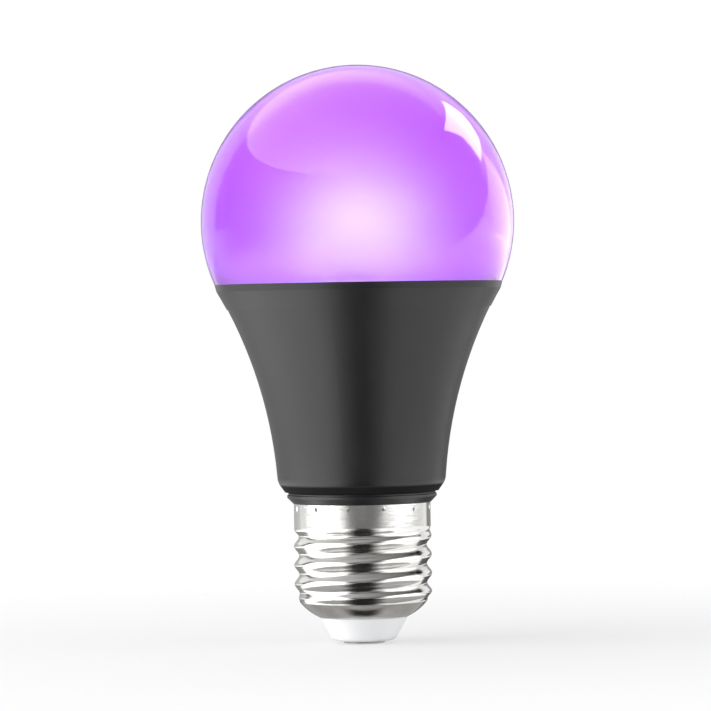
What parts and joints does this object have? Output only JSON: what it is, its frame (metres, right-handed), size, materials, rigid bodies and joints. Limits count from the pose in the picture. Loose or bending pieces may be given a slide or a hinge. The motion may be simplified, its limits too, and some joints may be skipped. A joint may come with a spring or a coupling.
{
  "type": "black light bulb",
  "caption": "Screw-in ultraviolet LED bulb with a round violet dome, a flared black housing and a threaded metal base.",
  "frame": {"origin": "middle of the centre contact's face, the point that seats at the bottom of a socket", "axes": "+Z along the bulb's axis from the screw base to the dome; -Y is the front; -Z goes into the socket"},
  "size_m": [0.06, 0.06, 0.1108],
  "materials": {
    "violet_polycarbonate": "clear violet tint, glossy",
    "black_plastic": "satin moulded",
    "nickel_plate": "bright rolled sheet",
    "white_plastic": "semi-gloss",
    "contact_metal": "dull tinned",
    "aluminium_sheet": "drawn sheet",
    "white_solder_mask": "semi-matt",
    "led_resin": "clear resin, lit violet",
    "screw_steel": "zinc plated",
    "pin_brass": "tinned",
    "circuit_board": "green solder mask",
    "capacitor_sleeve": "printed-free sleeve",
    "inductor_sleeve": "shrink sleeve",
    "film_epoxy": "moulded epoxy",
    "resistor_coat": "lacquered",
    "chip_epoxy": "moulded epoxy",
    "red_lead": "insulated wire",
    "bare_lead": "tinned wire"
  },
  "bodies": {
    "root": {"diffuser_dome": "violet_polycarbonate", "housing": "black_plastic", "screw_cap": "nickel_plate", "cap_insulator": "white_plastic", "centre_contact": "contact_metal", "heat_sink_cup": "aluminium_sheet", "led_board": "white_solder_mask", "led_chips": "led_resin", "board_screws": "screw_steel", "board_pins": "pin_brass", "driver_board": "circuit_board", "bulk_capacitor": "capacitor_sleeve", "power_inductor": "inductor_sleeve", "film_capacitor": "film_epoxy", "fuse_resistor": "resistor_coat", "bridge_rectifier": "chip_epoxy", "driver_chip": "chip_epoxy", "live_lead": "red_lead", "neutral_lead": "bare_lead"}
  },
  "joints": []
}
